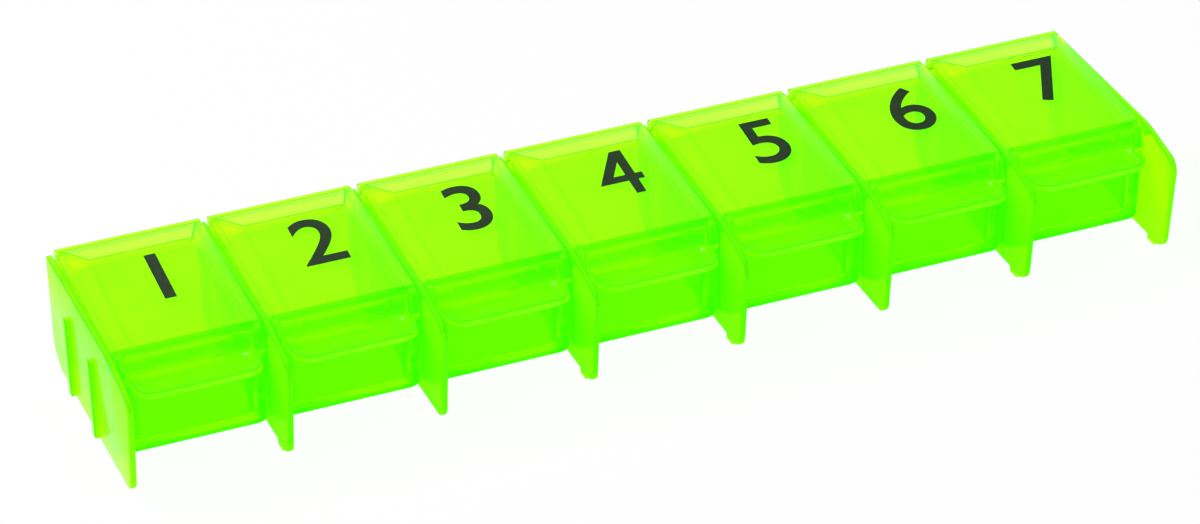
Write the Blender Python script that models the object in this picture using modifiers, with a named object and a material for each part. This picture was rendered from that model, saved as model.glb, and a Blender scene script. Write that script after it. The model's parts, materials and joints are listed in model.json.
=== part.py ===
"""Weekly pill organizer: seven cups in a row between eight divider plates, with a flap lid on each cup.

Metres, +Z up. X runs along the row, +Y points to the hinge side, and Z = 0 is the surface it stands on.
The box round the whole object has its middle at X = 0 and Y = 0.
"""

import bmesh
import bpy
from math import hypot, pi, radians, sin, tan
from mathutils import Matrix, Vector

# Row
DAYS = 7
PITCH = 0.0300
SEAM = 0.0003

# Divider plates: lengths along the depth are measured from the back edge
PLATE_THICKNESS = 0.0012
PLATE_HEIGHT = 0.0231
PLATE_DEPTH = 0.0514
BROW_RUN = 0.0117
BROW_DROP = 0.0027
FOOT_SETBACK = 0.0026
TOP_RADIUS = 0.0200
BROW_RADIUS = 0.0030
TOE_RADIUS = 0.0011
HEEL_RADIUS = 0.0058
BACK_TOP_RADIUS = 0.0005
PLATES_WITH_PAD = (2, 4, 5, 7, 8)
PAD_SETBACK = 0.0034
PAD_LENGTH = 0.0030
PAD_DROP = 0.0012
PAD_RADIUS = 0.0004

# Ribs on the outer face of the first plate
REAR_RIB_SETBACK = 0.0133
FRONT_RIB_SETBACK = 0.0286
RIB_WIDTH = 0.0018
RIB_FOOT_LIFT = 0.0003
RIB_BELOW_TOP = 0.0061
RIB_PROUD = 0.0010
RIB_END_SHARE = 0.98

# Hinge
AXIS_BELOW_TOP = 0.0018
BARREL_RADIUS = 0.0019
PIN_RADIUS = 0.0010
PIN_CLEARANCE = 0.0001
DIMPLE_DEPTH = 0.00045
PIN_END_GAP = 0.00015

# Lid: heights above or below the plates' top
LID_SETBACK = 0.0004
LID_WALL = 0.0012
LID_DEPTH = 0.0368
LID_BACK_RISE = 0.0018
LID_FRONT_BELOW_TOP = 0.0001
FOOT_BELOW_TOP = 0.0055
BACK_FACE_BEHIND_AXIS = 0.0018
FOLD_DEPTH = 0.0100
FOLD_RISE = 0.0035
HIP_DEPTH = 0.0023
HIP_INSET = 0.0011
SIDE_SLOPE_WIDTH = 0.0041
SKIRT_RUN = 0.0025
SKIRT_DROP = 0.0037
BACK_ROUNDING = 0.0016
CHEEK_THICKNESS = 0.0012
CHEEK_INSET = 0.0002
CHEEK_LEAN = 0.0003
CHEEK_PROUD = 0.0001
CHEEK_DROP = 0.0005
CHEEK_RADIUS = 0.0006
UNDERSIDE_RUN = 0.0020

# Thumb tab
TAB_WIDTH = 0.0244
TAB_REACH = 0.0072
TAB_THICKNESS = 0.0015
TAB_BELOW_FOOT = 0.0002
TAB_RADIUS = 0.0035
TAB_ROUNDING = 0.0003
DISH_RADIUS = 0.0105
DISH_LONG_RADIUS = 0.0315
DISH_DEPTH = 0.0006

# Cup: its floor's height is measured from the plates' bottom edge
CUP_WALL = 0.0012
CUP_FLOOR_HEIGHT = 0.0021
CUP_FRONT_DRAFT = 0.0013
CUP_FRONT_LEAD = 0.0011
CUP_CORNER_RADIUS = 0.0025
CUP_FLOOR_RADIUS = 0.0020
LID_REST_GAP = 0.0004

# Facets
ARC_STEPS = 6
ROUND_SIDES = 24
DISH_SEGMENTS = 24
CORNER_SEGMENTS = 4
TAB_ROUNDING_SEGMENTS = 1
SHARP_ANGLE = radians(30.0)
FLAT_ANGLE = radians(1.0)
OVERRUN = 0.0030

# Look
GREEN = (0.26, 0.98, 0.01, 1.0)
LID_GREEN = (0.42, 0.98, 0.04, 1.0)
PLASTIC_ROUGHNESS = 0.18

# Places that follow from the sizes
CELL_WIDTH = PITCH - PLATE_THICKNESS - 2.0 * SEAM
ROW_SHIFT = RIB_PROUD / 2.0


def clear_scene():
    for old in list(bpy.data.objects):
        bpy.data.objects.remove(old, do_unlink=True)


def new_collection(name):
    collection = bpy.data.collections.new(name)
    bpy.context.scene.collection.children.link(collection)
    return collection


def plastic(name, color):
    material = bpy.data.materials.new(name)
    material.use_nodes = True
    shader = material.node_tree.nodes["Principled BSDF"]
    shader.inputs["Base Color"].default_value = color
    shader.inputs["Roughness"].default_value = PLASTIC_ROUGHNESS
    shader.inputs["Metallic"].default_value = 0.0
    return material


def workbench_object(mesh):
    """A temporary object that carries a mesh while it is being shaped."""
    holder = bpy.data.objects.new(mesh.name, mesh)
    bpy.context.scene.collection.objects.link(holder)
    return holder


def take_mesh(holder):
    """The object's mesh with its modifiers applied; the object itself is removed."""
    bpy.context.view_layer.update()
    evaluated = holder.evaluated_get(bpy.context.evaluated_depsgraph_get())
    mesh = bpy.data.meshes.new_from_object(evaluated)
    mesh.transform(holder.matrix_world)
    bpy.data.objects.remove(holder, do_unlink=True)
    return mesh


def combine(mesh, tool, operation):
    """Boolean of two meshes in one frame."""
    holder = workbench_object(mesh)
    cutter = workbench_object(tool)
    boolean = holder.modifiers.new(operation, "BOOLEAN")
    boolean.operation = operation
    boolean.solver = "EXACT"
    boolean.object = cutter
    result = take_mesh(holder)
    bpy.data.objects.remove(cutter, do_unlink=True)
    return result


def rounded(corners):
    """Points of a closed outline whose corners (u, v, radius) are rounded by arcs."""
    points = []
    count = len(corners)
    for i, (u, v, radius) in enumerate(corners):
        corner = Vector((u, v))
        before = (Vector(corners[i - 1][:2]) - corner).normalized()
        after = (Vector(corners[(i + 1) % count][:2]) - corner).normalized()
        if radius == 0.0:
            points.append(corner)
            continue
        half = before.angle(after) / 2.0
        centre = corner + (before + after).normalized() * (radius / sin(half))
        start = corner + before * (radius / tan(half)) - centre
        turn = start.angle_signed(corner + after * (radius / tan(half)) - centre)
        for step in range(ARC_STEPS + 1):
            arm = start.copy()
            arm.rotate(Matrix.Rotation(-turn * step / ARC_STEPS, 2))
            points.append(centre + arm)
    return points


def flat_piece(name, points, thickness):
    """A flat outline given thickness, centred on its plane, in the curve's own XY plane."""
    curve = bpy.data.curves.new(name, "CURVE")
    curve.dimensions = "2D"
    curve.fill_mode = "BOTH"
    curve.extrude = thickness / 2.0
    spline = curve.splines.new("POLY")
    spline.points.add(len(points) - 1)
    for spline_point, point in zip(spline.points, points):
        spline_point.co = (point[0], point[1], 0.0, 1.0)
    spline.use_cyclic_u = True
    holder = bpy.data.objects.new(name, curve)
    bpy.context.scene.collection.objects.link(holder)
    mesh = take_mesh(holder)
    welded = bmesh.new()
    welded.from_mesh(mesh)
    bmesh.ops.remove_doubles(welded, verts=welded.verts, dist=SEAM / 100.0)
    bmesh.ops.recalc_face_normals(welded, faces=welded.faces)
    welded.to_mesh(mesh)
    welded.free()
    return mesh


def side_profile(name, points, thickness, x=0.0):
    """A flat piece whose outline lies in the YZ plane at x, with its thickness along X."""
    mesh = flat_piece(name, points, thickness)
    upright = Matrix(((0.0, 0.0, 1.0, x), (1.0, 0.0, 0.0, 0.0), (0.0, 1.0, 0.0, 0.0), (0.0, 0.0, 0.0, 1.0)))
    mesh.transform(upright)
    return mesh


def cylinder_along_x(name, radius, length, centre):
    mesh = bpy.data.meshes.new(name)
    turned = bmesh.new()
    placed = Matrix.Translation(centre) @ Matrix.Rotation(pi / 2.0, 4, "Y")
    bmesh.ops.create_cone(turned, cap_ends=True, segments=ROUND_SIDES, radius1=radius, radius2=radius,
                          depth=length, matrix=placed)
    turned.to_mesh(mesh)
    turned.free()
    return mesh


def bevelled(mesh, width, segments, angle):
    holder = workbench_object(mesh)
    bevel = holder.modifiers.new("rounding", "BEVEL")
    bevel.width = width
    bevel.segments = segments
    bevel.limit_method = "ANGLE"
    bevel.angle_limit = angle
    return take_mesh(holder)


def plate_outline():
    """The divider's side view: level top, brow sloping to the front, leaning front edge, toe and heel.

    Lengths along the depth run forward from the back edge as negative values.
    """
    front = -PLATE_DEPTH
    return rounded([(0.0, PLATE_HEIGHT, BACK_TOP_RADIUS),
                    (front + BROW_RUN, PLATE_HEIGHT, TOP_RADIUS),
                    (front, PLATE_HEIGHT - BROW_DROP, BROW_RADIUS),
                    (front + FOOT_SETBACK, 0.0, TOE_RADIUS),
                    (0.0, 0.0, HEEL_RADIUS)])


# The row's datums: back edge of the plates, their bottom edge and top, the hinge axis, then the lid and the cup
BACK = -min(point[0] for point in plate_outline()) / 2.0
BOTTOM = PAD_DROP
PLATE_TOP = BOTTOM + PLATE_HEIGHT
LID_BACK = BACK - LID_SETBACK
LID_BACK_TOP = PLATE_TOP + LID_BACK_RISE
LID_FRONT_TOP = PLATE_TOP - LID_FRONT_BELOW_TOP
AXIS_Y = LID_BACK - BACK_FACE_BEHIND_AXIS
AXIS_Z = PLATE_TOP - AXIS_BELOW_TOP
CUP_BACK = AXIS_Y - BARREL_RADIUS - SEAM
SKIRT_FRONT = LID_BACK - LID_DEPTH - SKIRT_RUN
SKIRT_BACK = SKIRT_FRONT + LID_WALL
CUP_FRONT = SKIRT_FRONT - CUP_FRONT_LEAD
CUP_RIM = AXIS_Z
LID_BASE = CUP_RIM + SEAM
LID_FOOT = PLATE_TOP - FOOT_BELOW_TOP
TAB_UNDERSIDE = LID_FOOT - TAB_BELOW_FOOT
CUP_FRONT_RIM = TAB_UNDERSIDE - LID_REST_GAP


def plate_x(number):
    return (number - 1 - DAYS / 2.0) * PITCH + ROW_SHIFT


def cell_x(number):
    return plate_x(number) + PITCH / 2.0


def foot_pad():
    """The small pad under the toe that some of the plates stand on, in the plate's frame."""
    front = BACK - PLATE_DEPTH + FOOT_SETBACK + PAD_SETBACK
    corners = [(front, 0.0, PAD_RADIUS), (front + PAD_LENGTH, 0.0, PAD_RADIUS),
               (front + PAD_LENGTH, BOTTOM + PLATE_THICKNESS, 0.0), (front, BOTTOM + PLATE_THICKNESS, 0.0)]
    return side_profile("pad", rounded(corners), PLATE_THICKNESS)


def rib(name, setback):
    """A round-ended upright rib that stands out of the first plate's outer face, in the plate's frame."""
    half = RIB_WIDTH / 2.0
    centre = BACK - setback
    foot = BOTTOM + RIB_FOOT_LIFT
    top = PLATE_TOP - RIB_BELOW_TOP
    end_radius = half * RIB_END_SHARE
    corners = [(centre - half, foot, 0.0), (centre + half, foot, 0.0),
               (centre + half, top, end_radius), (centre - half, top, end_radius)]
    thickness = RIB_PROUD + PLATE_THICKNESS / 2.0
    x = -PLATE_THICKNESS / 2.0 - RIB_PROUD + thickness / 2.0
    return side_profile(name, rounded(corners), thickness, x)


def plate_mesh(number):
    """One divider with the blind dimples that the lids' pins turn in, centred on its own middle plane."""
    name = f"plate_{number}"
    points = [(BACK + along, BOTTOM + up) for along, up in plate_outline()]
    mesh = side_profile(name, points, PLATE_THICKNESS)
    if number in PLATES_WITH_PAD:
        mesh = combine(mesh, foot_pad(), "UNION")
    if number == 1:
        for setback in (REAR_RIB_SETBACK, FRONT_RIB_SETBACK):
            mesh = combine(mesh, rib("rib", setback), "UNION")
    for side in (-1.0, 1.0):
        outer_face = number == 1 and side < 0.0 or number == DAYS + 1 and side > 0.0
        if outer_face:
            continue
        length = DIMPLE_DEPTH + OVERRUN
        centre = (side * (PLATE_THICKNESS / 2.0 + OVERRUN - length / 2.0), AXIS_Y, AXIS_Z)
        dimple = cylinder_along_x("dimple", PIN_RADIUS + PIN_CLEARANCE, length, centre)
        mesh = combine(mesh, dimple, "DIFFERENCE")
    return mesh


def lid_profile():
    """Side view of the lid's cap before its panel is raised: top, slanted skirt, foot and underside."""
    front = LID_BACK - LID_DEPTH
    skirt = front - SKIRT_RUN
    return rounded([(LID_BACK, LID_BASE, 0.0),
                    (LID_BACK, LID_BACK_TOP, BACK_ROUNDING),
                    (front, LID_FRONT_TOP, 0.0),
                    (skirt, LID_FRONT_TOP - SKIRT_DROP, 0.0),
                    (skirt, LID_FOOT, 0.0),
                    (SKIRT_BACK, LID_FOOT, 0.0),
                    (SKIRT_BACK + UNDERSIDE_RUN, LID_BASE, 0.0)])


def lid_cap():
    """The hip-roofed cap: a straight length of the profile, its panel raised, hollowed to one wall."""
    fold = LID_BACK - FOLD_DEPTH
    hip = LID_BACK - HIP_DEPTH
    half = CELL_WIDTH / 2.0
    panel_half = half - SIDE_SLOPE_WIDTH
    mesh = side_profile("cap", lid_profile(), CELL_WIDTH)
    cap = bmesh.new()
    cap.from_mesh(mesh)
    bmesh.ops.dissolve_limit(cap, angle_limit=FLAT_ANGLE, verts=cap.verts, edges=cap.edges)
    along_y = (0.0, 1.0, 0.0)
    along_x = (1.0, 0.0, 0.0)
    for place, normal in (((0.0, fold, 0.0), along_y), ((0.0, hip, 0.0), along_y),
                          ((panel_half, 0.0, 0.0), along_x), ((-panel_half, 0.0, 0.0), along_x)):
        bmesh.ops.bisect_plane(cap, geom=cap.verts[:] + cap.edges[:] + cap.faces[:], plane_co=place,
                               plane_no=normal)
    for vert in cap.verts:
        inner = abs(vert.co.x) < half - SEAM
        on_top = vert.co.z > LID_BASE + SEAM
        if inner and on_top and abs(vert.co.y - fold) < SEAM:
            vert.co.z = PLATE_TOP + FOLD_RISE
        if inner and on_top and abs(vert.co.y - hip) < SEAM:
            vert.co.x = (half - HIP_INSET) * (1.0 if vert.co.x > 0.0 else -1.0)
    cap.normal_update()
    underside = [face for face in cap.faces if face.normal.z < 0.0 and abs(face.normal.x) < 0.5]
    bmesh.ops.delete(cap, geom=underside, context="FACES")
    cap.to_mesh(mesh)
    cap.free()
    holder = workbench_object(mesh)
    shell = holder.modifiers.new("wall", "SOLIDIFY")
    shell.thickness = LID_WALL
    shell.offset = -1.0
    shell.use_even_offset = True
    return take_mesh(holder)


def thumb_tab():
    """The tongue at the lid's front: round-cornered, with a shallow dish for the thumb on top."""
    back = SKIRT_FRONT + LID_WALL / 2.0
    front = SKIRT_FRONT - TAB_REACH
    half = TAB_WIDTH / 2.0
    outline = rounded([(-half, front, TAB_RADIUS), (half, front, TAB_RADIUS),
                       (half, back, 0.0), (-half, back, 0.0)])
    mesh = flat_piece("tab", outline, TAB_THICKNESS)
    mesh.transform(Matrix.Translation((0.0, 0.0, TAB_UNDERSIDE + TAB_THICKNESS / 2.0)))
    mesh = bevelled(mesh, TAB_ROUNDING, TAB_ROUNDING_SEGMENTS, SHARP_ANGLE)
    dish = bmesh.new()
    middle = Vector((0.0, SKIRT_FRONT - TAB_REACH / 2.0,
                     TAB_UNDERSIDE + TAB_THICKNESS - DISH_DEPTH + DISH_RADIUS))
    stretch = Matrix.Diagonal((DISH_LONG_RADIUS, DISH_RADIUS, DISH_RADIUS, 1.0))
    bmesh.ops.create_uvsphere(dish, u_segments=DISH_SEGMENTS, v_segments=DISH_SEGMENTS, radius=1.0,
                              matrix=Matrix.Translation(middle) @ stretch)
    dish_mesh = bpy.data.meshes.new("dish")
    dish.to_mesh(dish_mesh)
    dish.free()
    return combine(mesh, dish_mesh, "DIFFERENCE")


def cheek(name, side):
    """The upright web at one end of the skirt, which brings the lid's side wall forward to the skirt's foot."""
    front = LID_BACK - LID_DEPTH
    into_wall = LID_WALL / 2.0
    corners = [(front + into_wall, LID_FRONT_TOP - CHEEK_DROP, 0.0),
               (SKIRT_FRONT + CHEEK_LEAN, LID_FRONT_TOP - CHEEK_DROP, CHEEK_RADIUS),
               (SKIRT_FRONT - CHEEK_PROUD, LID_FOOT + into_wall, 0.0),
               (SKIRT_FRONT + into_wall, LID_FOOT + into_wall, 0.0),
               (SKIRT_FRONT + into_wall, LID_FRONT_TOP - SKIRT_DROP, 0.0)]
    x = side * (CELL_WIDTH / 2.0 - CHEEK_INSET - CHEEK_THICKNESS / 2.0)
    return side_profile(name, rounded(corners), CHEEK_THICKNESS, x)


def lid_mesh():
    """One lid in the row's depth and height, centred on its own middle plane."""
    mesh = lid_cap()
    for side in (-1.0, 1.0):
        mesh = combine(mesh, cheek("cheek", side), "UNION")
    axis = (0.0, AXIS_Y, AXIS_Z)
    mesh = combine(mesh, cylinder_along_x("barrel", BARREL_RADIUS, CELL_WIDTH, axis), "UNION")
    pin_length = CELL_WIDTH + 2.0 * (SEAM + DIMPLE_DEPTH - PIN_END_GAP)
    mesh = combine(mesh, cylinder_along_x("pins", PIN_RADIUS, pin_length, axis), "UNION")
    return combine(mesh, thumb_tab(), "UNION")


def mouth_cutter():
    """Side view of all that is cut from above the cup's rim: level at the back, dipping under the lid's skirt."""
    rise = LID_BASE - LID_FOOT
    shift = LID_REST_GAP * hypot(UNDERSIDE_RUN, rise) / rise

    def underside_y(height):
        return SKIRT_BACK + shift + (height - LID_FOOT) * UNDERSIDE_RUN / rise

    top = CUP_RIM + 2.0 * OVERRUN
    points = [(CUP_FRONT - OVERRUN, CUP_FRONT_RIM), (underside_y(CUP_FRONT_RIM), CUP_FRONT_RIM),
              (underside_y(CUP_RIM), CUP_RIM), (CUP_BACK + OVERRUN, CUP_RIM),
              (CUP_BACK + OVERRUN, top), (CUP_FRONT - OVERRUN, top)]
    return side_profile("mouth", points, CELL_WIDTH + OVERRUN)


def cup_mesh():
    """One open cup: a tapered, round-cornered tray of even wall, with its front rim cut low."""
    floor = BOTTOM + CUP_FLOOR_HEIGHT
    rim = CUP_RIM + OVERRUN
    draft = CUP_FRONT_DRAFT * (rim - floor) / (CUP_RIM - floor)
    tray = bmesh.new()
    bmesh.ops.create_cube(tray, size=1.0)
    for vert in tray.verts:
        high = vert.co.z > 0.0
        vert.co.x *= CELL_WIDTH
        vert.co.z = rim if high else floor
        front = CUP_FRONT + CUP_FRONT_DRAFT - (draft if high else 0.0)
        vert.co.y = CUP_BACK if vert.co.y > 0.0 else front
    upright = [edge for edge in tray.edges if abs(edge.verts[0].co.z - edge.verts[1].co.z) > SEAM]
    bmesh.ops.bevel(tray, geom=upright, offset=CUP_CORNER_RADIUS, segments=CORNER_SEGMENTS, profile=0.5,
                    affect="EDGES", clamp_overlap=True)
    low = [edge for edge in tray.edges if all(vert.co.z < floor + SEAM for vert in edge.verts)]
    bmesh.ops.bevel(tray, geom=low, offset=CUP_FLOOR_RADIUS, segments=CORNER_SEGMENTS, profile=0.5,
                    affect="EDGES", clamp_overlap=True)
    lid_side = [face for face in tray.faces if all(vert.co.z > rim - SEAM for vert in face.verts)]
    bmesh.ops.delete(tray, geom=lid_side, context="FACES")
    mesh = bpy.data.meshes.new("cup")
    tray.to_mesh(mesh)
    tray.free()
    holder = workbench_object(mesh)
    shell = holder.modifiers.new("wall", "SOLIDIFY")
    shell.thickness = CUP_WALL
    shell.offset = -1.0
    shell.use_even_offset = True
    return combine(take_mesh(holder), mouth_cutter(), "DIFFERENCE")


def add_piece(name, mesh, collection, material, location):
    mesh.name = name
    mesh.materials.clear()
    mesh.materials.append(material)
    mesh.shade_smooth()
    mesh.set_sharp_from_angle(angle=SHARP_ANGLE)
    piece = bpy.data.objects.new(name, mesh)
    piece.location = location
    collection.objects.link(piece)
    return piece


def main():
    clear_scene()
    organizer = new_collection("weekly_pill_organizer")
    body_green = plastic("tray_plastic", GREEN)
    lid_green = plastic("lid_plastic", LID_GREEN)
    for number in range(1, DAYS + 2):
        add_piece(f"plate_{number}", plate_mesh(number), organizer, body_green, (plate_x(number), 0.0, 0.0))
    cup = cup_mesh()
    lid = lid_mesh()
    axis = Vector((0.0, AXIS_Y, AXIS_Z))
    lid.transform(Matrix.Translation(-axis))
    for number in range(1, DAYS + 1):
        add_piece(f"cup_{number}", cup.copy(), organizer, body_green, (cell_x(number), 0.0, 0.0))
        add_piece(f"lid_{number}", lid.copy(), organizer, lid_green, (cell_x(number), AXIS_Y, AXIS_Z))


main()
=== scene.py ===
"""Weekly pill organizer in clear green plastic: one moulded tray, seven flap lids and their printed numbers.

Metres, +Z up. X runs along the row, +Y points to the hinges, and Z = 0 is the surface that it stands on.
"""

import json

import bpy
from math import atan2, radians
from mathutils import Matrix, Vector

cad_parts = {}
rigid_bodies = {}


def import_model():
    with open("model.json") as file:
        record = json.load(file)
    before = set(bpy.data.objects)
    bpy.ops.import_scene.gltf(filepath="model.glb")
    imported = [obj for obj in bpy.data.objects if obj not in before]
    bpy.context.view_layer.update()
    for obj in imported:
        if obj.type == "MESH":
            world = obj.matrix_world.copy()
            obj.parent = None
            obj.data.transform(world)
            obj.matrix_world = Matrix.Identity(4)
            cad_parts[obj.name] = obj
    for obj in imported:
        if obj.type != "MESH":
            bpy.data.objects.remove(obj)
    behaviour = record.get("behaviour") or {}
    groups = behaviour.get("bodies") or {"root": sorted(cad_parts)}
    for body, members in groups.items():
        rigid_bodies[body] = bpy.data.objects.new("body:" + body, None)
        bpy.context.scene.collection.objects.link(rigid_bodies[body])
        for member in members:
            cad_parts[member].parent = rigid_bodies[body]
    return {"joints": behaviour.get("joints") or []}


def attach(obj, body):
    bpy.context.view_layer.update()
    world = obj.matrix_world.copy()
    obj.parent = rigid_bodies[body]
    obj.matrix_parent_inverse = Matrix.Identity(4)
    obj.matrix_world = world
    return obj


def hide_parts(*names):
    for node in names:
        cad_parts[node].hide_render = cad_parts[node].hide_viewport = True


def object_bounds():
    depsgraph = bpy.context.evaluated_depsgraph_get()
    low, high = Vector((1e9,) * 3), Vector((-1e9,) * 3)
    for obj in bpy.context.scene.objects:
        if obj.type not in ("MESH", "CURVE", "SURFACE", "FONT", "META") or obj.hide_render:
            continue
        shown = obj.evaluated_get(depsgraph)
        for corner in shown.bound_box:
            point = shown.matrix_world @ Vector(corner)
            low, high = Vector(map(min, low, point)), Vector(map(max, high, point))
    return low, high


for leftover in list(bpy.data.objects):
    bpy.data.objects.remove(leftover, do_unlink=True)

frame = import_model()
cad_low, cad_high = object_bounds()

# The row, from the frame's hinges and box, whose back is known to a hundredth of a millimetre
HINGES = [joint["pos_m"] for joint in frame["joints"]]
DAYS = len(HINGES)
FIRST_CELL, AXIS_Y, AXIS_Z = HINGES[0]
PITCH = HINGES[1][0] - FIRST_CELL
FIRST_PLATE = FIRST_CELL - PITCH / 2.0
BACK = round(cad_high[1], 5)
WALL = 0.0012
SEAM = 0.0003
SEAM_SOFTNESS = 0.0002

# Divider plates
PLATE_HALF = WALL / 2.0
PLATE_TOP = AXIS_Z + 0.0018
PLATE_DEPTH = 0.0514
PLATE_FRONT = BACK - PLATE_DEPTH
BROW_RUN = 0.0117
BROW_Y = PLATE_FRONT + BROW_RUN
BROW_DROP = 0.0027
FOOT_SETBACK = 0.0026
TOP_ROUNDING = 0.0023
BROW_ROUNDING = 0.0027
TOE_ROUNDING = 0.0022
HEEL_ROUNDING = 0.0058
BACK_TOP_ROUNDING = 0.0005
EDGE_SOFTNESS = 0.00028

# Pads under the toes, which hold the plates off the table
PAD_PLATES = (2, 4, 5, 7, 8)
PAD_SETBACK = 0.0034
PAD_LENGTH = 0.0030
PAD_DROP = 0.0012
PAD_ROUNDING = 0.0004
PAD_FRONT = PLATE_FRONT + FOOT_SETBACK + PAD_SETBACK
PAD_BACK = PAD_FRONT + PAD_LENGTH
BOTTOM = PAD_DROP

# Ribs on the left end plate
RIBS_Y = (BACK - 0.0133, BACK - 0.0286)
RIB_HALF = 0.0009
RIB_PROUD = 0.0010
RIB_TOP = PLATE_TOP - 0.0061
RIB_TOP_ROUNDING = 0.00085

# Hinge
BARREL_RADIUS = 0.0019
PIN_RADIUS = 0.0010
PIN_REACH = PITCH / 2.0 - SEAM

# Lids: depths from their back edge, heights from the plates' top
LID_HALF = PITCH / 2.0 - PLATE_HALF - SEAM
LID_BACK = BACK - 0.0004
LID_BACK_TOP = PLATE_TOP + 0.0018
LID_BASE = AXIS_Z + SEAM
LID_FOOT = PLATE_TOP - 0.0055
LID_DEPTH = 0.0368
SKIRT_RUN = 0.0025
SKIRT_DROP = 0.0037
SKIRT_FRONT = LID_BACK - LID_DEPTH - SKIRT_RUN
SKIRT_BACK = SKIRT_FRONT + WALL
PANEL_FRONT = SKIRT_FRONT + SKIRT_RUN
PANEL_FRONT_TOP = PLATE_TOP - 0.0001
SKIRT_BEND = PANEL_FRONT_TOP - SKIRT_DROP
SIDE_SLOPE_WIDTH = 0.0041
PANEL_HALF = LID_HALF - SIDE_SLOPE_WIDTH
UNDERSIDE_FRONT = SKIRT_BACK + 0.0020
FOLD_DEPTH = 0.0100
FOLD_Y = LID_BACK - FOLD_DEPTH
FOLD_TOP = PLATE_TOP + 0.0035
HIP_DEPTH = 0.0023
HIP_Y = LID_BACK - HIP_DEPTH
HIP_HALF = LID_HALF - 0.0011
BACK_ROUNDING = 0.0016
FOLD_SOFTNESS = 0.00025
CHEEK_OUTER = LID_HALF - 0.0002
CHEEK_INNER = CHEEK_OUTER - WALL
CHEEK_FRONT = SKIRT_FRONT - 0.00013
CHEEK_TOP = PANEL_FRONT_TOP - 0.0005
CHEEK_TOP_SETBACK = 0.0004
CHEEK_FOOT_LIFT = 0.45 * WALL
CHEEK_ROUNDING = 0.0006

# Thumb tab, its scoop and the wall behind the scoop
TAB_HALF = 0.0122
TAB_FRONT = SKIRT_FRONT - 0.0072
TAB_UNDERSIDE = LID_FOOT - 0.0002
TAB_TOP = TAB_UNDERSIDE + 0.0015
TAB_CORNER = 0.0035
TAB_SOFTNESS = 0.00025
LIP_WIDTH = 0.00075
SCOOP_FLOOR = TAB_TOP - 0.0008
SCOOP_BACK = SKIRT_BACK + 0.00022
SCOOP_CORNER = 0.0029
SCOOP_BACK_CORNER = 0.0036
SCOOP_SLOPE = 0.0018
SCOOP_WALL_BACK = SCOOP_BACK + 0.0011
SCOOP_WALL_FOOT = LID_FOOT + 0.0001
SCOOP_WALL_TOP = LID_BASE + 0.0003
SCOOP_WALL_ROUNDING = 0.0006

# Bead of plastic along the scoop's upper edge
BEAD_RADIUS = 0.00036
BEAD_Y = SKIRT_BACK + 0.00014
BEAD_Z = LID_BASE - 0.00018
BEAD_ENDS = (-0.0086, 0.0080)

# Cups
CUP_HALF = PITCH / 2.0 - SEAM
CUP_INSIDE_HALF = CUP_HALF - 1.5 * WALL
CUP_BACK = AXIS_Y - BARREL_RADIUS - SEAM
CUP_RIM = AXIS_Z
CUP_UNDERSIDE = BOTTOM + 0.0021
CUP_FRONT_DRAFT = 0.0013
CUP_FRONT_AT_RIM = SKIRT_FRONT - 0.0011
CUP_FRONT_AT_FLOOR = CUP_FRONT_AT_RIM + CUP_FRONT_DRAFT
CUP_FRONT_RIM = TAB_UNDERSIDE - 0.0004
CUP_CORNER = 0.0031
CUP_FLOOR_CORNER = 0.0012
CUP_HEM = 0.0003
RIM_CUT_BACK = SKIRT_BACK + WALL / 10.0
RIM_CUT_LEAN = 0.00275

# Printed numbers
NUMBER_SIZE = 0.0190
NUMBER_Y = 0.0055
NUMBER_SHIFTS = (0.0009, 0.0016, 0.0018, 0.0023, 0.0030, 0.0033, 0.0026)
NUMBER_WEIGHT = 0.011
INK_LIFT = 0.00003
INK_THICKNESS = 0.00002

# The strokes of the 4 at a letter size of 1: left, low, right and high
FOUR_STEM = (0.055, -0.311, 0.158, 0.402)
FOUR_BAR = (-0.18, -0.098, 0.232, 0.002)
FOUR_SLANT = (-0.25, -0.098, -0.128, 0.402)
FOUR_LEAN = 0.285

# Colours
TRAY_TINT = (0.58, 1.0, 0.004, 1.0)
TRAY_THIN_TINT = (0.62, 1.0, 0.005, 1.0)
LID_TINT = (0.73, 1.0, 0.010, 1.0)
LID_THIN_TINT = (0.81, 1.0, 0.014, 1.0)
# painted shade: the dark green that a face's colour is mixed towards, by its painted shade amount
PAINTED_SHADE_GREEN = (0.12, 1.0, 0.002, 1.0)
REFLECTED_GREEN = (0.5, 1.0, 0.2, 1.0)
GLOWING_GREEN = (0.2, 1.0, 0.0, 1.0)
DYE_IN_THE_WALL = (0.85, 1.0, 0.0, 1.0)
THICK_INK = (0.006, 0.030, 0.002, 1.0)
THIN_INK = (0.014, 0.052, 0.006, 1.0)
PALE_FLOOR = (0.92, 0.92, 0.92, 1.0)
WHITE = (1.0, 1.0, 1.0, 1.0)

# Painted light and shade on each kind of face, from 0 to 1: the share of the painted shade green in its
# colour. High values paint shade into rounded edges, folds and faces turned from the light; low values paint
# light.
FULL_PAINTED_SHADE = 1.0
CUP_SIDE_PAINTED_SHADE = 0.75
CUP_FRONT_PAINTED_SHADE = 0.45
CUP_REST_PAINTED_SHADE = 0.28
PLATE_PAINTED_SHADE = 0.5
# painted light: the toes and both end plates lighter than the other plates
TOE_PAINTED_LIGHT = 0.1
LEFT_PLATE_PAINTED_LIGHT = 0.1
RIGHT_PLATE_PAINTED_LIGHT = 0.0
LID_SIDE_PAINTED_SHADE = 0.45
SIDE_FOLD_PAINTED_SHADE = 0.4
SKIRT_PAINTED_SHADE = 0.65
TAB_PAINTED_SHADE = 0.45
PANEL_PAINTED_SHADE = 0.18
REAR_SLOPE_PAINTED_SHADE = 0.07
# painted highlight: the bead left at the plain tint, as a lit strip
BEAD_PAINTED_HIGHLIGHT = 0.0

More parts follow.
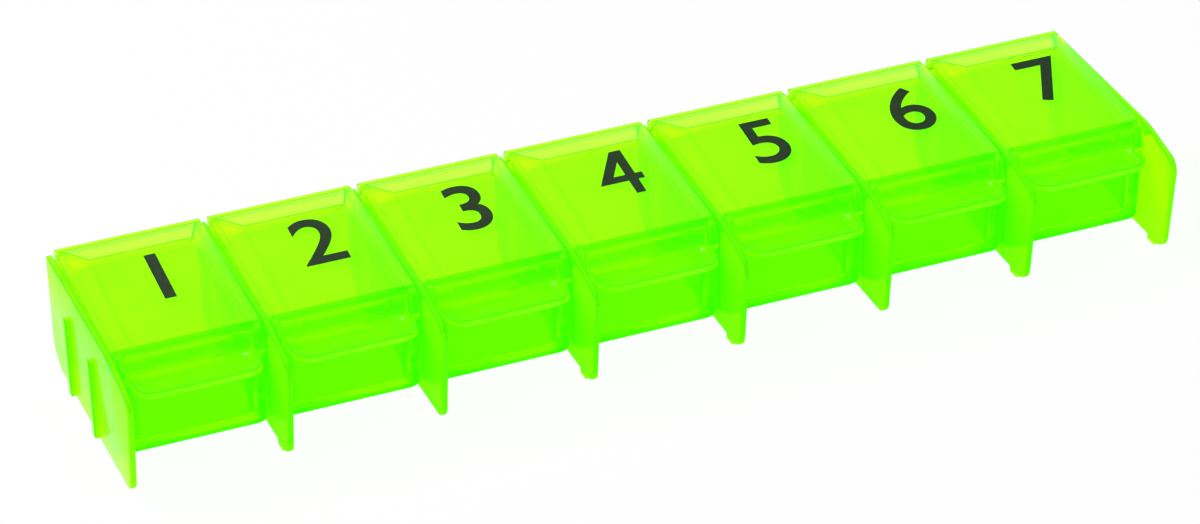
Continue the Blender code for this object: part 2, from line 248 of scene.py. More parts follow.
# Shares of a face's normal: more than FACING looks that way, more than ASLANT leans that way, less than
# UPRIGHT up or down is an upright face, and more than TURNED to the side is on a round corner
FACING = 0.9
ASLANT = 0.5
UPRIGHT = 0.3
TURNED = 0.15

# Camera, fitted to the photograph's viewing angle
CAMERA_PLACE = (-0.2758, -0.6928, 0.4721)
CAMERA_AZIMUTH = radians(21.43)
CAMERA_ELEVATION = radians(31.72)
CAMERA_ROLL = radians(-1.22)
CAMERA_LENS = 137.67


def cell_x(number):
    return FIRST_CELL + (number - 1) * PITCH


def plate_x(number):
    return FIRST_PLATE + (number - 1) * PITCH


# Modelling, as by hand


def work_on(piece):
    if bpy.context.object and bpy.context.object.mode != "OBJECT":
        bpy.ops.object.mode_set(mode="OBJECT")
    bpy.ops.object.select_all(action="DESELECT")
    bpy.context.view_layer.objects.active = piece
    piece.select_set(True)


def settle(piece):
    """The piece's place, turn and scale go into its mesh."""
    work_on(piece)
    bpy.ops.object.transform_apply(location=True, rotation=True, scale=True)


def block(name, low, high):
    low, high = Vector(low), Vector(high)
    bpy.ops.object.select_all(action="DESELECT")
    bpy.ops.mesh.primitive_cube_add(size=1.0, location=(low + high) / 2.0, scale=high - low)
    piece = bpy.context.object
    piece.name = name
    piece.data.name = name
    settle(piece)
    return piece


def rod_along_x(name, radius, low_x, high_x, y, z, sides=48):
    bpy.ops.object.select_all(action="DESELECT")
    bpy.ops.mesh.primitive_cylinder_add(vertices=sides, radius=radius, depth=high_x - low_x,
                                        location=((low_x + high_x) / 2.0, y, z),
                                        rotation=(0.0, radians(90.0), 0.0))
    piece = bpy.context.object
    piece.name = name
    settle(piece)
    return piece


def pick(piece, kind, wanted):
    """Selects points, edges or faces in edit mode: wanted gets a point, an edge's two ends, or a face's
    middle and normal."""
    work_on(piece)
    mesh = piece.data
    for group in (mesh.vertices, mesh.edges, mesh.polygons):
        group.foreach_set("select", [False] * len(group))
    if kind == "VERT":
        for point in mesh.vertices:
            point.select = wanted(point.co)
    elif kind == "EDGE":
        for edge in mesh.edges:
            a, b = edge.vertices
            edge.select = wanted(mesh.vertices[a].co, mesh.vertices[b].co)
    else:
        for face in mesh.polygons:
            face.select = wanted(face.center, face.normal)
    bpy.context.tool_settings.mesh_select_mode = (kind == "VERT", kind == "EDGE", kind == "FACE")
    bpy.ops.object.mode_set(mode="EDIT")


def done():
    bpy.ops.object.mode_set(mode="OBJECT")


def shift(piece, wanted, by):
    pick(piece, "VERT", wanted)
    bpy.ops.transform.translate(value=by)
    done()


def cut_across(piece, place, normal):
    pick(piece, "VERT", lambda point: True)
    bpy.ops.mesh.bisect(plane_co=place, plane_no=normal)
    done()


def remove_faces(piece, wanted):
    pick(piece, "FACE", wanted)
    bpy.ops.mesh.delete(type="FACE")
    done()


def round_edges(piece, wanted, width, segments, slot=-1):
    two_slots(piece)
    pick(piece, "EDGE", wanted)
    bpy.ops.mesh.bevel(offset_type="OFFSET", offset=width, segments=segments, profile=0.5, affect="EDGES",
                       clamp_overlap=True, material=slot)
    done()


def two_slots(piece):
    """A first slot for the faces, and a second one that marks rounded edges until their painted shade is
    marked.
    """
    while len(piece.data.materials) < 2:
        piece.data.materials.append(None)


def mark_deep_dye(piece, depth):
    """Keeps the painted light and shade, 0 to 1, as the mesh's own attribute: shade painted into a face's
    colour by where it lies and which way it turns. depth gets a face's middle, its normal and whether it is a
    rounded edge, and gives that amount."""
    mesh = piece.data
    marks = mesh.attributes.new("deep_dye", "FLOAT", "FACE")
    for face in mesh.polygons:
        marks.data[face.index].value = depth(face.center, face.normal, face.material_index == 1)
        face.material_index = 0


def mark_milky(piece, wanted):
    """Keeps which faces are cloudy as the mesh's own attribute."""
    marks = piece.data.attributes.new("milky", "FLOAT", "FACE")
    for face in piece.data.polygons:
        marks.data[face.index].value = 1.0 if wanted(face.center) else 0.0


def apply_modifier(piece, kind, **settings):
    work_on(piece)
    modifier = piece.modifiers.new(kind.lower(), kind)
    for name, value in settings.items():
        setattr(modifier, name, value)
    bpy.ops.object.modifier_apply(modifier=modifier.name)


def soften(piece, width, segments, angle):
    two_slots(piece)
    apply_modifier(piece, "BEVEL", width=width, segments=segments, limit_method="ANGLE", angle_limit=angle,
                   material=1)


def give_wall(piece, thickness):
    apply_modifier(piece, "SOLIDIFY", thickness=thickness, offset=-1.0, use_even_offset=True)


def join_to(piece, other, operation="UNION"):
    two_slots(piece)
    two_slots(other)
    apply_modifier(piece, "BOOLEAN", object=other, operation=operation, solver="EXACT",
                   material_mode="INDEX")
    bpy.data.objects.remove(other, do_unlink=True)


def finish_shell(piece, angle=radians(32.0)):
    """Closes the hair slits that joining leaves, and smooths all but the sharp edges."""
    pick(piece, "EDGE", lambda a, b: False)
    bpy.ops.mesh.select_non_manifold(extend=False, use_wire=False, use_boundary=True, use_multi_face=False,
                                     use_non_contiguous=False, use_verts=False)
    bpy.ops.mesh.fill_holes(sides=0)
    done()
    bpy.ops.object.shade_smooth_by_angle(angle=angle)


def copy_along(piece, name, along):
    work_on(piece)
    bpy.ops.object.duplicate(linked=False)
    twin = bpy.context.object
    twin.name = name
    twin.data.name = name
    bpy.ops.transform.translate(value=(along, 0.0, 0.0))
    settle(twin)
    return twin


def near(a, b, reach=0.00005):
    return abs(a - b) < reach


# Tray


def divider(number):
    """One plate: level top, sloping brow, leaning front edge, toe and a well rounded heel."""
    x = plate_x(number)
    plate = block(f"divider_{number}", (x - PLATE_HALF, PLATE_FRONT, BOTTOM),
                  (x + PLATE_HALF, BACK, PLATE_TOP))
    cut_across(plate, (0.0, BROW_Y, 0.0), (0.0, 1.0, 0.0))
    shift(plate, lambda p: near(p.y, PLATE_FRONT) and p.z > CUP_RIM, (0.0, 0.0, -BROW_DROP))
    shift(plate, lambda p: near(p.y, PLATE_FRONT) and p.z < LID_FOOT, (0.0, FOOT_SETBACK, 0.0))

    def across(y, z):
        return lambda a, b: near(a.y, y) and near(b.y, y) and near(a.z, z) and near(b.z, z)

    round_edges(plate, across(BROW_Y, PLATE_TOP), TOP_ROUNDING, 6)
    round_edges(plate, across(PLATE_FRONT, PLATE_TOP - BROW_DROP), BROW_ROUNDING, 8)
    round_edges(plate, across(PLATE_FRONT + FOOT_SETBACK, BOTTOM), TOE_ROUNDING, 8)
    round_edges(plate, across(BACK, BOTTOM), HEEL_ROUNDING, 10)
    round_edges(plate, across(BACK, PLATE_TOP), BACK_TOP_ROUNDING, 3)
    round_edges(plate, lambda a, b: near(a.x, b.x), EDGE_SOFTNESS, 2, 1)
    return plate


def foot_pad(number):
    """The small pad under a plate's toe, which the row stands on."""
    x = plate_x(number)
    half = PLATE_HALF - EDGE_SOFTNESS / 2.0
    pad = block("pad", (x - half, PAD_FRONT, 0.0), (x + half, PAD_BACK, BOTTOM + WALL))
    round_edges(pad, lambda a, b: near(a.z, 0.0) and near(b.z, 0.0) and near(a.y, b.y), PAD_ROUNDING, 3)
    return pad


def end_rib(y):
    """One of the upright ribs on the left end plate."""
    x = FIRST_PLATE - PLATE_HALF
    outside = x - RIB_PROUD
    rib = block("rib", (outside, y - RIB_HALF, BOTTOM + EDGE_SOFTNESS),
                (x + PLATE_HALF, y + RIB_HALF, RIB_TOP))
    round_edges(rib, lambda a, b: near(a.z, RIB_TOP) and near(b.z, RIB_TOP) and near(a.y, b.y),
                RIB_TOP_ROUNDING, 6)
    round_edges(rib, lambda a, b: near(a.x, outside) and near(b.x, outside), EDGE_SOFTNESS, 2, 1)
    return rib


def cup_form(name, x, half, front, back, low, high, corner, floor_corner):
    """A drafted block with round upright corners and a round-edged underside."""
    draft = CUP_FRONT_DRAFT / (CUP_RIM - CUP_UNDERSIDE)
    form = block(name, (x - half, front, low), (x + half, back, high))
    shift(form, lambda p: near(p.y, front) and near(p.z, high), (0.0, -draft * (high - low), 0.0))
    round_edges(form, lambda a, b: abs(a.z - b.z) > WALL, corner, 8)
    round_edges(form, lambda a, b: near(a.z, low) and near(b.z, low), floor_corner, 6)
    return form


def cup(number):
    """One compartment: drafted front, round corners, and a front rim that is cut low."""
    x = cell_x(number)
    above = CUP_RIM + WALL
    walls = cup_form("cup", x, CUP_HALF, CUP_FRONT_AT_FLOOR, CUP_BACK,
                     CUP_UNDERSIDE, CUP_RIM, CUP_CORNER, CUP_HEM)
    cut_across(walls, (0.0, 0.0, CUP_UNDERSIDE + WALL), (0.0, 0.0, 1.0))
    hollow = cup_form("hollow", x, CUP_INSIDE_HALF, CUP_FRONT_AT_FLOOR + WALL, CUP_BACK - WALL,
                      CUP_UNDERSIDE + WALL, above, CUP_CORNER, CUP_FLOOR_CORNER)
    join_to(walls, hollow, "DIFFERENCE")
    rim_cut = block("rim_cut", (x - PITCH, CUP_FRONT_AT_RIM - WALL, CUP_FRONT_RIM),
                    (x + PITCH, RIM_CUT_BACK, above))
    shift(rim_cut, lambda p: near(p.y, RIM_CUT_BACK) and p.z > CUP_RIM, (0.0, RIM_CUT_LEAN, 0.0))
    join_to(walls, rim_cut, "DIFFERENCE")
    soften(walls, SEAM_SOFTNESS, 2, radians(50.0))
    return walls


def on_plate(middle):
    """Whether a face of the tray is on a divider plate."""
    number = round((middle.x - FIRST_PLATE) / PITCH) + 1
    return abs(middle.x - plate_x(number)) < PLATE_HALF + RIB_PROUD and (
        middle.y < CUP_FRONT_AT_RIM - WALL / 4.0 or middle.y > CUP_BACK or middle.z > CUP_RIM
        or abs(middle.x) > abs(FIRST_PLATE) + PLATE_HALF / 2.0)


def make_tray():
    """Plates and cups in turn along the row, joined to one moulding."""
    tray = divider(1)
    for y in RIBS_Y:
        join_to(tray, end_rib(y))
    first_cup = cup(1)
    for number in range(1, DAYS + 1):
        plate = divider(number + 1)
        if number + 1 in PAD_PLATES:
            join_to(plate, foot_pad(number + 1))
        join_to(tray, copy_along(first_cup, "cup", cell_x(number) - cell_x(1)))
        join_to(tray, plate)
    bpy.data.objects.remove(first_cup, do_unlink=True)
    tray.name = "tray"
    finish_shell(tray)

    edges_above = PLATE_TOP - BROW_DROP - PLATE_HALF
    end_plates_from = abs(FIRST_PLATE) - PLATE_HALF - WALL / 12.0

    # painted light and shade for each tray face: shade in rounded edges, cup front corners and foot strip;
    # light on the toes and end plates
    def depth(middle, normal, rounded):
        if rounded and (middle.z > edges_above or middle.x < FIRST_PLATE - PLATE_HALF):
            return FULL_PAINTED_SHADE
        if on_plate(middle):
            if abs(middle.x) > end_plates_from:
                return LEFT_PLATE_PAINTED_LIGHT if middle.x < 0.0 else RIGHT_PLATE_PAINTED_LIGHT
            at_toe = middle.y < PAD_FRONT + WALL and middle.z < CUP_UNDERSIDE + CUP_CORNER
            return TOE_PAINTED_LIGHT if at_toe else PLATE_PAINTED_SHADE
        at_front = CUP_FRONT_AT_RIM - WALL / 4.0 < middle.y < CUP_FRONT_AT_FLOOR + WALL + CUP_CORNER
        corner_or_foot = abs(normal.x) > TURNED or middle.z < CUP_UNDERSIDE + WALL
        if at_front and abs(normal.z) < UPRIGHT and corner_or_foot:
            return FULL_PAINTED_SHADE
        if abs(normal.x) > FACING:
            return CUP_SIDE_PAINTED_SHADE
        return CUP_REST_PAINTED_SHADE if abs(normal.z) > FACING or middle.y > 0.0 else CUP_FRONT_PAINTED_SHADE

    mark_deep_dye(tray, depth)
    mark_milky(tray, on_plate)
    return tray


# Lids


def lid_roof(x):
    """The hip-roofed shell with its slanted skirt, hollow below."""
    roof = block("lid", (x - LID_HALF, SKIRT_FRONT, LID_BASE), (x + LID_HALF, LID_BACK, LID_BACK_TOP))
    for y in (SKIRT_BACK, PANEL_FRONT, UNDERSIDE_FRONT, FOLD_Y, HIP_Y):
        cut_across(roof, (0.0, y, 0.0), (0.0, 1.0, 0.0))
    for side in (-1.0, 1.0):
        cut_across(roof, (x + side * PANEL_HALF, 0.0, 0.0), (1.0, 0.0, 0.0))
    slope = (LID_BACK_TOP - PANEL_FRONT_TOP) / (LID_BACK - PANEL_FRONT)
    rise = (FOLD_TOP - PANEL_FRONT_TOP) / (FOLD_Y - PANEL_FRONT)
    skirt_slope = (PANEL_FRONT_TOP - SKIRT_BEND) / (PANEL_FRONT - SKIRT_FRONT)

    def top_line(y, inner=None):
        return lambda p: (near(p.y, y) and near(p.z, LID_BACK_TOP)
                          and (inner is None or (abs(p.x - x) < LID_HALF - WALL) == inner))

    heights = [(SKIRT_FRONT, None, SKIRT_BEND),
               (SKIRT_BACK, None, SKIRT_BEND + skirt_slope * (SKIRT_BACK - SKIRT_FRONT)),
               (PANEL_FRONT, None, PANEL_FRONT_TOP),
               (UNDERSIDE_FRONT, False, PANEL_FRONT_TOP + slope * (UNDERSIDE_FRONT - PANEL_FRONT)),
               (UNDERSIDE_FRONT, True, PANEL_FRONT_TOP + rise * (UNDERSIDE_FRONT - PANEL_FRONT)),
               (FOLD_Y, False, PANEL_FRONT_TOP + slope * (FOLD_Y - PANEL_FRONT)),
               (FOLD_Y, True, FOLD_TOP),
               (HIP_Y, None, PANEL_FRONT_TOP + slope * (HIP_Y - PANEL_FRONT))]
    for y, inner, height in heights:
        shift(roof, top_line(y, inner), (0.0, 0.0, height - LID_BACK_TOP))
    for side in (-1.0, 1.0):
        shift(roof, lambda p: (near(p.y, HIP_Y) and p.z > LID_BASE + WALL
                               and near(p.x, x + side * PANEL_HALF)),
              (side * (HIP_HALF - PANEL_HALF), 0.0, 0.0))
    foot_slope = (LID_BASE - LID_FOOT) / (UNDERSIDE_FRONT - SKIRT_BACK)
    for y, height in ((SKIRT_FRONT, LID_FOOT), (SKIRT_BACK, LID_FOOT),
                      (PANEL_FRONT, LID_FOOT + foot_slope * (PANEL_FRONT - SKIRT_BACK))):
        shift(roof, lambda p: near(p.y, y) and near(p.z, LID_BASE), (0.0, 0.0, height - LID_BASE))
    remove_faces(roof, lambda middle, normal: normal.z < -UPRIGHT)
    round_edges(roof, lambda a, b: near(a.y, LID_BACK) and near(b.y, LID_BACK) and near(a.z, LID_BACK_TOP)
                and near(b.z, LID_BACK_TOP), BACK_ROUNDING, 6)

    def fold(a, b):
        if min(a.z, b.z) < LID_BASE + WALL / 2.0:
            return False
        level = near(a.y, b.y) and near(a.z, b.z)
        at_fold = near(a.y, FOLD_Y) and near(a.z, FOLD_TOP)
        across = level and (near(a.y, PANEL_FRONT) or near(a.y, HIP_Y) or at_fold)
        out_a, out_b = abs(a.x - x), abs(b.x - x)
        sides = near(a.x, b.x) and near(out_a, PANEL_HALF)
        hip = abs(out_a - out_b) > WALL and abs(a.y - b.y) > WALL and max(a.z, b.z) > FOLD_TOP - WALL / 4.0
        return across or sides or hip

    round_edges(roof, fold, FOLD_SOFTNESS, 2, 1)
    round_edges(roof, lambda a, b: near(abs(a.x - x), LID_HALF) and near(a.x, b.x)
                and max(a.y, b.y) < HIP_Y + WALL and min(a.z, b.z) > LID_BASE + WALL / 2.0, FOLD_SOFTNESS, 3)
    give_wall(roof, WALL)
    return roof


def lid_cheek(x, side):
    """The upright web at one end of the skirt."""
    inner, outer = sorted((x + side * CHEEK_INNER, x + side * CHEEK_OUTER))
    back = PANEL_FRONT + WALL / 2.0
    cheek = block("cheek", (inner, CHEEK_FRONT, LID_FOOT + CHEEK_FOOT_LIFT), (outer, back, CHEEK_TOP))
    shift(cheek, lambda p: near(p.y, CHEEK_FRONT) and near(p.z, CHEEK_TOP), (0.0, CHEEK_TOP_SETBACK, 0.0))
    shift(cheek, lambda p: near(p.y, back) and p.z < SKIRT_BEND,
          (0.0, SKIRT_FRONT + WALL / 2.0 - back, 0.0))
    round_edges(cheek, lambda a, b: near(a.z, CHEEK_TOP) and near(b.z, CHEEK_TOP)
                and a.y < SKIRT_BACK and b.y < SKIRT_BACK, CHEEK_ROUNDING, 4)
    round_edges(cheek, lambda a, b: near(a.x, b.x) and (a.y + b.y) / 2.0 < SKIRT_FRONT + WALL,
                SEAM_SOFTNESS, 2)
    return cheek


def thumb_tab(x):
    """The tongue at the lid's front."""
    tab = block("tab", (x - TAB_HALF, TAB_FRONT, TAB_UNDERSIDE),
                (x + TAB_HALF, SKIRT_FRONT + WALL / 2.0, TAB_TOP))
    round_edges(tab, lambda a, b: near(a.y, TAB_FRONT) and near(b.y, TAB_FRONT) and abs(a.z - b.z) > WALL,
                TAB_CORNER, 10)
    round_edges(tab, lambda a, b: near(a.z, b.z) and (a.y + b.y) / 2.0 < SKIRT_FRONT - WALL / 12.0,
                TAB_SOFTNESS, 3, 1)
    return tab


def scoop_form(x):
    """The hollow for the thumb: round corners, and ends and a back that sweep down to its floor."""
    half = TAB_HALF - LIP_WIDTH
    front = TAB_FRONT + LIP_WIDTH
    form = block("scoop", (x - half, front, SCOOP_FLOOR), (x + half, SCOOP_BACK, LID_BASE + WALL))
    for y, corner in ((front, SCOOP_CORNER), (SCOOP_BACK, SCOOP_BACK_CORNER)):
        round_edges(form, lambda a, b: near(a.y, y) and near(b.y, y) and abs(a.z - b.z) > WALL, corner, 8)
    round_edges(form, lambda a, b: near(a.z, SCOOP_FLOOR) and near(b.z, SCOOP_FLOOR), SCOOP_SLOPE, 6)
    return form


def make_lid(number):
    """One flap lid: roof, cheeks, hinge barrel with its pins, and the scooped thumb tab."""
    x = cell_x(number)
    lid = lid_roof(x)
    for side in (-1.0, 1.0):
        join_to(lid, lid_cheek(x, side))
    barrel = rod_along_x("barrel", BARREL_RADIUS, x - LID_HALF, x + LID_HALF, AXIS_Y, AXIS_Z)
    soften(barrel, SEAM_SOFTNESS, 2, radians(50.0))
    join_to(lid, barrel)
    join_to(lid, rod_along_x("pins", PIN_RADIUS, x - PIN_REACH, x + PIN_REACH, AXIS_Y, AXIS_Z, 32))
    join_to(lid, thumb_tab(x))
    wall = block("wall", (x - TAB_HALF, SKIRT_BACK - WALL / 8.0, SCOOP_WALL_FOOT),
                 (x + TAB_HALF, SCOOP_WALL_BACK, SCOOP_WALL_TOP))
    round_edges(wall, lambda a, b: near(a.y, SCOOP_WALL_BACK) and near(b.y, SCOOP_WALL_BACK),
                SCOOP_WALL_ROUNDING, 4)
    join_to(lid, wall)
    join_to(lid, scoop_form(x), "DIFFERENCE")
    bead = rod_along_x("bead", BEAD_RADIUS, x + BEAD_ENDS[0], x + BEAD_ENDS[1], BEAD_Y, BEAD_Z, 16)
    soften(bead, BEAD_RADIUS / 3.0, 2, radians(50.0))
    join_to(lid, bead)
    lid.name = f"lid_{number}_shell"
    finish_shell(lid)

    # painted light and shade for each lid face: a highlight on the bead; shade on the sides, folds, rounded
    # edges, skirt and tab
    def depth(middle, normal, rounded):
        out = abs(middle.x - x)
        tab_ends = SKIRT_FRONT - WALL / 4.0
        if abs(middle.y - BEAD_Y) < BEAD_RADIUS and abs(middle.z - BEAD_Z) < BEAD_RADIUS:
            return BEAD_PAINTED_HIGHLIGHT
        if abs(normal.x) > FACING and out > LID_HALF - 1.2 * WALL and middle.z > LID_BASE:
            return LID_SIDE_PAINTED_SHADE
        if near(out, PANEL_HALF, FOLD_SOFTNESS) and PANEL_FRONT < middle.y < FOLD_Y:
            return SIDE_FOLD_PAINTED_SHADE
        if rounded:
            return FULL_PAINTED_SHADE
        if abs(normal.y) > ASLANT and middle.z > SCOOP_FLOOR and tab_ends < middle.y < UNDERSIDE_FRONT:
            return SKIRT_PAINTED_SHADE
        in_scoop = normal.z > ASLANT and TAB_FRONT < middle.y < SCOOP_BACK and middle.z < LID_BASE
        if in_scoop or middle.y < tab_ends:
            return TAB_PAINTED_SHADE
        return REAR_SLOPE_PAINTED_SHADE if middle.y > FOLD_Y else PANEL_PAINTED_SHADE

    mark_deep_dye(lid, depth)
    return lid


def stroke(name, left, low, right, high):
    """A bar of ink at a letter size of 1."""
    half = INK_THICKNESS / 2.0 / NUMBER_SIZE
    return block(name, (left, low, -half), (right, high, half))


def figure_four():
    """The 4 as three strokes, because the font's own fills in when its lines are made heavier."""
    four = stroke("four", *FOUR_STEM)
    bar = stroke("bar", *FOUR_BAR)
    slant = stroke("slant", *FOUR_SLANT)
    shift(slant, lambda p: p.y > 0.0, (FOUR_LEAN, 0.0, 0.0))
    join_to(four, bar)
    join_to(four, slant)
    return four


def printed_number(number):
    """A plain number in dark ink on the lid's panel."""
    rise = (FOLD_TOP - PANEL_FRONT_TOP) / (FOLD_Y - PANEL_FRONT)
    if number == 4:
        ink = figure_four()
    else:
        bpy.ops.object.select_all(action="DESELECT")
        bpy.ops.object.text_add(location=(0.0, 0.0, 0.0))
        text = bpy.context.object
        text.data.body = str(number)
        text.data.align_x = "CENTER"
        text.data.align_y = "CENTER"
        text.data.offset = NUMBER_WEIGHT
        text.data.extrude = INK_THICKNESS / 2.0 / NUMBER_SIZE
        work_on(text)
        bpy.ops.object.convert(target="MESH")
        ink = bpy.context.object
    ink.name = f"number_{number}"
    ink.location = (cell_x(number) + NUMBER_SHIFTS[number - 1], NUMBER_Y,
                    PANEL_FRONT_TOP + rise * (NUMBER_Y - PANEL_FRONT) + INK_LIFT)
    ink.rotation_euler = (atan2(rise, 1.0), 0.0, 0.0)
    ink.scale = (NUMBER_SIZE, NUMBER_SIZE, NUMBER_SIZE)
    settle(ink)
    return ink


# Finishes


def link_noise(tree, coordinates, scale, detail, low=0.0, high=1.0):
    """A soft random value between low and high over the piece."""
    noise = tree.nodes.new("ShaderNodeTexNoise")
    noise.inputs["Scale"].default_value = scale
    noise.inputs["Detail"].default_value = detail
    tree.links.new(coordinates, noise.inputs["Vector"])
    spread = tree.nodes.new("ShaderNodeMapRange")
    for name, value in (("From Min", 0.3), ("From Max", 0.7), ("To Min", low), ("To Max", high)):
        spread.inputs[name].default_value = value
    tree.links.new(noise.outputs["Fac"], spread.inputs["Value"])
    return spread.outputs["Result"]


def link_mix(tree, amount, first, second):
    """A colour between two colours, each written out or linked."""
    mix = tree.nodes.new("ShaderNodeMix")
    mix.data_type = "RGBA"
    tree.links.new(amount, mix.inputs[0])
    for socket, value in ((mix.inputs[6], first), (mix.inputs[7], second)):
        if isinstance(value, tuple):
            socket.default_value = value
        else:
            tree.links.new(value, socket)
    return mix.outputs[2]


def link_unevenness(tree, coordinates, scale, detail, strength, distance, below=None):
    """A bumpy skin, over another one where that is given."""
    bump = tree.nodes.new("ShaderNodeBump")
    bump.inputs["Strength"].default_value = strength
    bump.inputs["Distance"].default_value = distance
    tree.links.new(link_noise(tree, coordinates, scale, detail), bump.inputs["Height"])
    if below is not None:
        tree.links.new(below, bump.inputs["Normal"])
    return bump.outputs["Normal"]


def clear_plastic(name, tint, thin_tint, clearness, milky_clearness, roughness, ior, density, coat):
    """Dyed clear plastic, a little milky. Its colour is mixed towards a painted shade green by each face's
    painted light and shade amount, and the dye varies in slow clouds; the skin has a fine moulded unevenness."""
    material = bpy.data.materials.new(name)
    material.use_nodes = True
    tree = material.node_tree
    shader = tree.nodes["Principled BSDF"]
    output = tree.nodes["Material Output"]
    place = tree.nodes.new("ShaderNodeTexCoord").outputs["Object"]
    shade_marks = tree.nodes.new("ShaderNodeAttribute")
    shade_marks.attribute_name = "deep_dye"
    clouds = link_mix(tree, link_noise(tree, place, scale=90.0, detail=3.0), tint, thin_tint)
    # painted light and shade: the tint mixed towards dark green by the face's painted amount
    tree.links.new(link_mix(tree, shade_marks.outputs["Fac"], clouds, PAINTED_SHADE_GREEN), shader.inputs["Base Color"])
    uneven = link_noise(tree, place, scale=400.0, detail=4.0, low=roughness * 0.7, high=roughness * 1.3)
    tree.links.new(uneven, shader.inputs["Roughness"])
    shader.inputs["IOR"].default_value = ior
    shader.inputs["Specular Tint"].default_value = REFLECTED_GREEN
    shader.inputs["Coat Weight"].default_value = coat
    shader.inputs["Coat Roughness"].default_value = 0.12
    shader.inputs["Transmission Weight"].default_value = clearness
    if milky_clearness:
        milky = tree.nodes.new("ShaderNodeAttribute")
        milky.attribute_name = "milky"
        clear = tree.nodes.new("ShaderNodeMapRange")
        clear.inputs["To Min"].default_value = clearness
        clear.inputs["To Max"].default_value = milky_clearness
        tree.links.new(milky.outputs["Fac"], clear.inputs["Value"])
        tree.links.new(clear.outputs["Result"], shader.inputs["Transmission Weight"])
    shader.inputs["Emission Color"].default_value = GLOWING_GREEN
    shader.inputs["Emission Strength"].default_value = 0.05
    flow = link_unevenness(tree, place, scale=120.0, detail=2.0, strength=0.1, distance=0.0003)
    grain = link_unevenness(tree, place, scale=1500.0, detail=3.0, strength=0.06, distance=0.00004,
                            below=flow)
    tree.links.new(grain, shader.inputs["Normal"])
    passing = tree.nodes.new("ShaderNodeBsdfTransparent")
    passing.inputs["Color"].default_value = tint
    path = tree.nodes.new("ShaderNodeLightPath")
    mix = tree.nodes.new("ShaderNodeMixShader")
    tree.links.new(path.outputs["Is Shadow Ray"], mix.inputs["Fac"])
    tree.links.new(shader.outputs["BSDF"], mix.inputs[1])
    tree.links.new(passing.outputs["BSDF"], mix.inputs[2])
    tree.links.new(mix.outputs["Shader"], output.inputs["Surface"])
    if density:
        dye = tree.nodes.new("ShaderNodeVolumeAbsorption")
        dye.inputs["Color"].default_value = DYE_IN_THE_WALL
        dye.inputs["Density"].default_value = density
        tree.links.new(dye.outputs["Volume"], output.inputs["Volume"])
    return material


def dark_ink():
    """Printing ink: thinner in places, with a slightly uneven skin."""
    material = bpy.data.materials.new("dark_ink")
    material.use_nodes = True
    tree = material.node_tree
    shader = tree.nodes["Principled BSDF"]
    place = tree.nodes.new("ShaderNodeTexCoord").outputs["Object"]
    patches = link_noise(tree, place, scale=700.0, detail=4.0)
    tree.links.new(link_mix(tree, patches, THICK_INK, THIN_INK), shader.inputs["Base Color"])
    dullness = link_noise(tree, place, scale=1100.0, detail=3.0, low=0.45, high=0.65)
    tree.links.new(dullness, shader.inputs["Roughness"])
    skin = link_unevenness(tree, place, scale=2200.0, detail=3.0, strength=0.15, distance=0.00002)
    tree.links.new(skin, shader.inputs["Normal"])
    return material


def wear(piece, material):
    """The piece is all of this one material."""
    piece.data.materials.clear()
    piece.data.materials.append(material)


def any_of(tree, sockets):
    """The largest of several 0 or 1 values."""
    total = sockets[0]
    for socket in sockets[1:]:
        larger = tree.nodes.new("ShaderNodeMath")
        larger.operation = "MAXIMUM"
        tree.links.new(total, larger.inputs[0])
        tree.links.new(socket, larger.inputs[1])
        total = larger.outputs[0]
    return total


def white_to_rays(tree, shader, rays, share):
    """Shows white to these kinds of ray, as a share of what they see, and the shader to all other light."""
    path = tree.nodes.new("ShaderNodeLightPath")
    part = tree.nodes.new("ShaderNodeMath")
    part.operation = "MULTIPLY"
    part.inputs[1].default_value = share
    tree.links.new(any_of(tree, [path.outputs[ray] for ray in rays]), part.inputs[0])
    glow = tree.nodes.new("ShaderNodeEmission")
    glow.inputs["Color"].default_value = WHITE
    glow.inputs["Strength"].default_value = 1.0
    mix = tree.nodes.new("ShaderNodeMixShader")
    tree.links.new(part.outputs[0], mix.inputs["Fac"])
    tree.links.new(shader, mix.inputs[1])
    tree.links.new(glow.outputs["Emission"], mix.inputs[2])
    return mix.outputs["Shader"]


def make_floor():
    """A wide pale floor that shows nearly white, and keeps the row's shadow."""
    bpy.ops.object.select_all(action="DESELECT")
    bpy.ops.mesh.primitive_plane_add(size=8.0, location=(0.0, 0.0, 0.0))
    floor = bpy.context.object
    floor.name = "floor"
    material = bpy.data.materials.new("pale_floor")
    material.use_nodes = True
    tree = material.node_tree
    shader = tree.nodes["Principled BSDF"]
    shader.inputs["Base Color"].default_value = PALE_FLOOR
    shader.inputs["Roughness"].default_value = 0.9
    shader.inputs["Specular IOR Level"].default_value = 0.0
    seen_through = white_to_rays(tree, shader.outputs["BSDF"], ("Is Transmission Ray",), 0.95)
    seen = white_to_rays(tree, seen_through, ("Is Camera Ray",), 0.96)
    tree.links.new(seen, tree.nodes["Material Output"].inputs["Surface"])
    wear(floor, material)


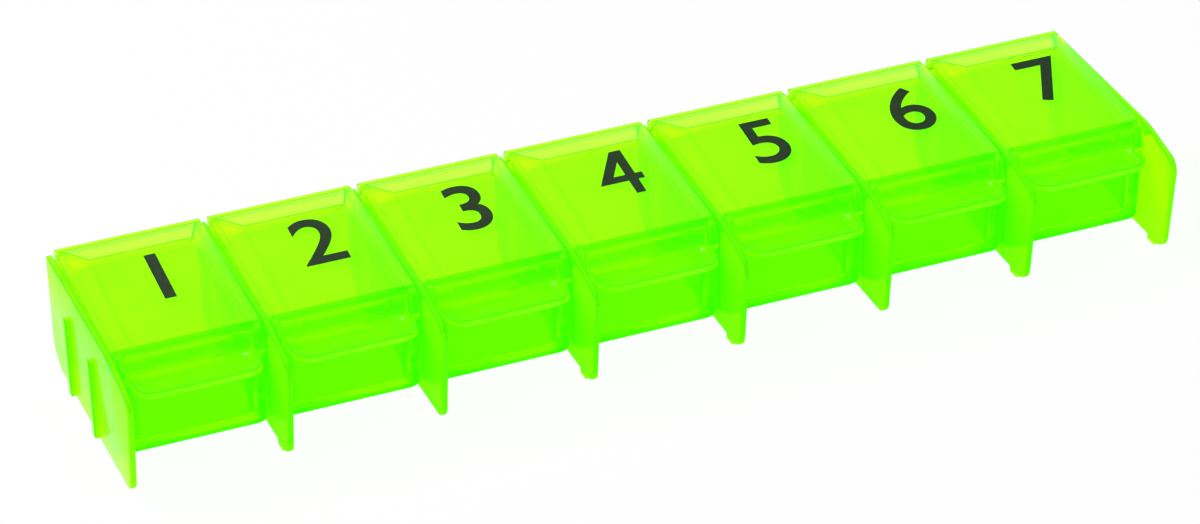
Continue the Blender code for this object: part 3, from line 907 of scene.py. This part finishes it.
def make_world():
    """A pale dome, brighter towards the horizon, and towards the back and the left."""
    world = bpy.data.worlds.new("studio")
    bpy.context.scene.world = world
    world.use_nodes = True
    tree = world.node_tree
    light = tree.nodes["Background"]
    light.inputs["Strength"].default_value = 1.0
    place = tree.nodes.new("ShaderNodeTexCoord")

    def fade(direction, start, end, low, high):
        """From one value to another, by how far the sky lies towards a direction."""
        towards = tree.nodes.new("ShaderNodeVectorMath")
        towards.operation = "DOT_PRODUCT"
        towards.inputs[1].default_value = direction
        tree.links.new(place.outputs["Generated"], towards.inputs[0])
        fall = tree.nodes.new("ShaderNodeMapRange")
        fall.interpolation_type = "SMOOTHSTEP"
        for name, value in (("From Min", start), ("From Max", end), ("To Min", low), ("To Max", high)):
            fall.inputs[name].default_value = value
        tree.links.new(towards.outputs["Value"], fall.inputs["Value"])
        return fall.outputs["Result"]

    both = tree.nodes.new("ShaderNodeMath")
    both.operation = "MULTIPLY"
    tree.links.new(fade((0.0, 0.0, 1.0), 0.1, 0.45, 0.8, 0.25), both.inputs[0])
    tree.links.new(fade((-0.55, 0.83, 0.0), -0.9, 0.4, 0.4, 1.0), both.inputs[1])
    tree.links.new(both.outputs[0], light.inputs["Color"])
    seen = white_to_rays(tree, light.outputs["Background"], ("Is Camera Ray", "Is Transmission Ray"), 1.0)
    tree.links.new(seen, tree.nodes["World Output"].inputs["Surface"])


def softbox(name, place, target, size, power):
    """A square lamp that is turned to the target."""
    data = bpy.data.lights.new(name, "AREA")
    data.shape = "SQUARE"
    data.size = size
    data.energy = power
    lamp = bpy.data.objects.new(name, data)
    bpy.context.scene.collection.objects.link(lamp)
    lamp.location = place
    lamp.rotation_euler = (Vector(target) - Vector(place)).to_track_quat("-Z", "Y").to_euler()


def make_camera():
    data = bpy.data.cameras.new("camera")
    data.sensor_width = 36.0
    data.sensor_fit = "HORIZONTAL"
    data.lens = CAMERA_LENS
    data.clip_start = 0.05
    data.clip_end = 20.0
    camera = bpy.data.objects.new("camera", data)
    bpy.context.scene.collection.objects.link(camera)
    aim = Matrix.Rotation(-CAMERA_AZIMUTH, 4, "Z") @ Matrix.Rotation(radians(90.0) - CAMERA_ELEVATION, 4, "X")
    camera.matrix_world = Matrix.Translation(CAMERA_PLACE) @ aim @ Matrix.Rotation(CAMERA_ROLL, 4, "Z")
    bpy.context.scene.camera = camera


def main():
    scene = bpy.context.scene
    scene.view_settings.view_transform = "Standard"
    # Light passes through many clear walls before it leaves the row.
    scene.cycles.transparent_max_bounces = 32
    scene.cycles.max_bounces = 24
    scene.cycles.transmission_bounces = 24
    make_camera()
    make_world()
    make_floor()
    softbox("key", place=(-0.7, 0.45, 0.9), target=(0.0, 0.0, 0.0), size=0.7, power=14.0)

    tray_plastic = clear_plastic("tray_plastic_clear", TRAY_TINT, TRAY_THIN_TINT, clearness=0.85,
                                 milky_clearness=0.6, roughness=0.13, ior=1.12, density=420.0, coat=0.0)
    lid_plastic = clear_plastic("lid_plastic_clear", LID_TINT, LID_THIN_TINT, clearness=0.85,
                                milky_clearness=None, roughness=0.08, ior=1.2, density=0.0, coat=0.08)
    ink = dark_ink()

    tray = make_tray()
    wear(tray, tray_plastic)
    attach(tray, "tray")
    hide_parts(*[f"cup_{number}" for number in range(1, DAYS + 1)],
                *[f"plate_{number}" for number in range(1, DAYS + 2)])

    first_lid = make_lid(1)
    for number in range(1, DAYS + 1):
        lid = first_lid
        if number > 1:
            lid = copy_along(first_lid, f"lid_{number}_shell", cell_x(number) - cell_x(1))
        wear(lid, lid_plastic)
        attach(lid, f"lid_{number}")
        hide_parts(f"lid_{number}")
        mark = printed_number(number)
        wear(mark, ink)
        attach(mark, f"lid_{number}")


main()
